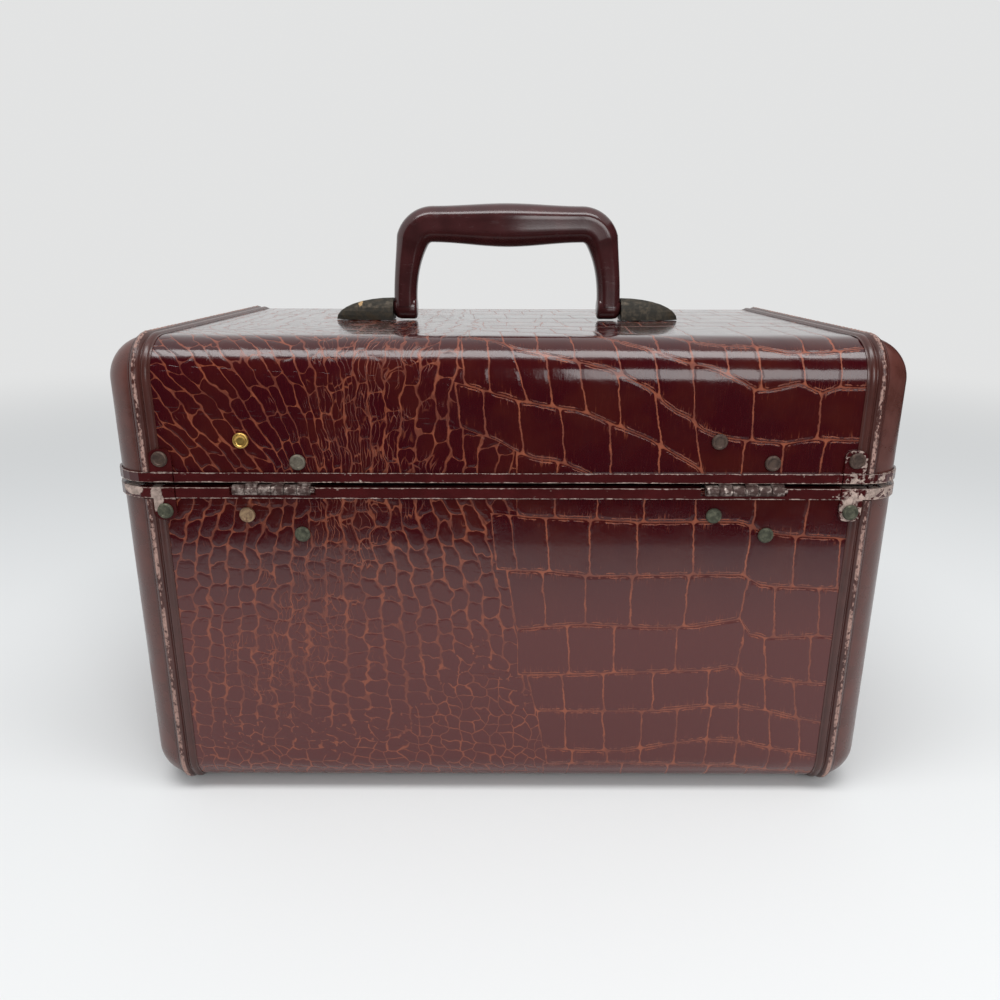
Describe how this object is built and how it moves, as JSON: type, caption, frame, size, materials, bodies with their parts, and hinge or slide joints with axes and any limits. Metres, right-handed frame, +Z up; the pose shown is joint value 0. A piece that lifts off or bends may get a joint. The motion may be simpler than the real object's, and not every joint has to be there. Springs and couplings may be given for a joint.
{
  "type": "cosmetic train case",
  "caption": "Hard vanity case with rounded ends, hinged lid, upright top handle, front hasp latches, stitched bindings, mirror and lift-out tray.",
  "frame": {"origin": "middle of the overall box, at the height of the bindings' undersides that the case stands on", "axes": "+X to the right as seen from the latches, +Y from the latches to the hinges, +Z up"},
  "size_m": [0.3308, 0.2056, 0.263],
  "materials": {
    "wrap": "glossy reptile-embossed covering with orange-brown creases",
    "cover": "smooth semi-gloss covering",
    "binding": "smooth strip with worn pale stitching",
    "rim": "gloss paint, chipped to bare metal along its edges",
    "grip": "polished moulding",
    "brass": "tarnished, worn bright in places",
    "steel": "worn, lightly corroded",
    "lining": "padded woven lining",
    "tray": "covered board",
    "ledge": "covered wood strip",
    "mirror": "silvered glass"
  },
  "bodies": {
    "base": {"base_wrap": "wrap", "base_end_left": "cover", "base_end_right": "cover", "base_binding_left": "binding", "base_binding_right": "binding", "base_rim": "rim", "base_rim_back": "rim", "base_lining": "lining", "base_tab_rivet_left": "brass", "base_tab_rivet_right": "brass", "tray_ledge_left": "ledge", "tray_ledge_right": "ledge", "base_leaf_left": "steel", "base_leaf_right": "steel", "base_hinge_rivet_left_1": "brass", "base_hinge_rivet_left_2": "brass", "base_hinge_rivet_right_1": "brass", "base_hinge_rivet_right_2": "brass", "hinge_pin_left": "steel", "hinge_pin_right": "steel", "lock_case_left": "brass", "lock_case_right": "brass"},
    "lid": {"lid_wrap": "wrap", "lid_end_left": "cover", "lid_end_right": "cover", "lid_binding_left": "binding", "lid_binding_right": "binding", "lid_rim": "rim", "lid_rim_back": "rim", "lid_lining": "lining", "lid_tab_rivet_left": "brass", "lid_tab_rivet_right": "brass", "lid_leaf_left": "steel", "lid_leaf_right": "steel", "lid_hinge_rivet_left_1": "brass", "lid_hinge_rivet_left_2": "brass", "lid_hinge_rivet_right_1": "brass", "lid_hinge_rivet_right_2": "brass", "handle_post_left": "brass", "handle_post_right": "brass", "handle_backing_left": "steel", "handle_backing_right": "steel", "handle_pin_left": "steel", "handle_pin_right": "steel", "mirror": "mirror", "mirror_frame": "ledge", "hasp_bracket_left": "brass", "hasp_bracket_right": "brass", "hasp_pin_left": "steel", "hasp_pin_right": "steel"},
    "handle": {"handle": "grip"},
    "hasp_left": {"hasp_left": "brass"},
    "hasp_right": {"hasp_right": "brass"},
    "thumb_slide_left": {"thumb_slide_left": "brass"},
    "thumb_slide_right": {"thumb_slide_right": "brass"},
    "key_barrel_left": {"key_barrel_left": "steel"},
    "key_barrel_right": {"key_barrel_right": "steel"},
    "tray": {"tray": "tray"}
  },
  "joints": [
    {"name": "lid_hinge", "type": "hinge", "parent": "base", "child": "lid", "pos_m": [0, 0.1008, 0.1468], "axis": [-1, 0, 0], "range_deg": [0, 105]},
    {"name": "handle_swing", "type": "hinge", "parent": "lid", "child": "handle", "pos_m": [0, 0.00215, 0.2137], "axis": [1, 0, 0], "range_deg": [-75, 75]},
    {"name": "hasp_left_swing", "type": "hinge", "parent": "lid", "child": "hasp_left", "pos_m": [-0.097, -0.09825, 0.1589], "axis": [-1, 0, 0], "range_deg": [0, 120]},
    {"name": "hasp_right_swing", "type": "hinge", "parent": "lid", "child": "hasp_right", "pos_m": [0.097, -0.09825, 0.1589], "axis": [-1, 0, 0], "range_deg": [0, 120]},
    {"name": "thumb_slide_left_travel", "type": "slide", "parent": "base", "child": "thumb_slide_left", "axis": [1, 0, 0], "range_m": [0, 0.005]},
    {"name": "thumb_slide_right_travel", "type": "slide", "parent": "base", "child": "thumb_slide_right", "axis": [-1, 0, 0], "range_m": [0, 0.005]},
    {"name": "key_barrel_left_turn", "type": "hinge", "parent": "base", "child": "key_barrel_left", "pos_m": [-0.0855, -0.09825, 0.13165], "axis": [0, -1, 0], "range_deg": [0, 90]},
    {"name": "key_barrel_right_turn", "type": "hinge", "parent": "base", "child": "key_barrel_right", "pos_m": [0.0855, -0.09825, 0.13165], "axis": [0, -1, 0], "range_deg": [0, 90]},
    {"name": "tray_lift", "type": "slide", "parent": "base", "child": "tray", "axis": [0, 0, 1], "range_m": [0, 0.045]}
  ]
}
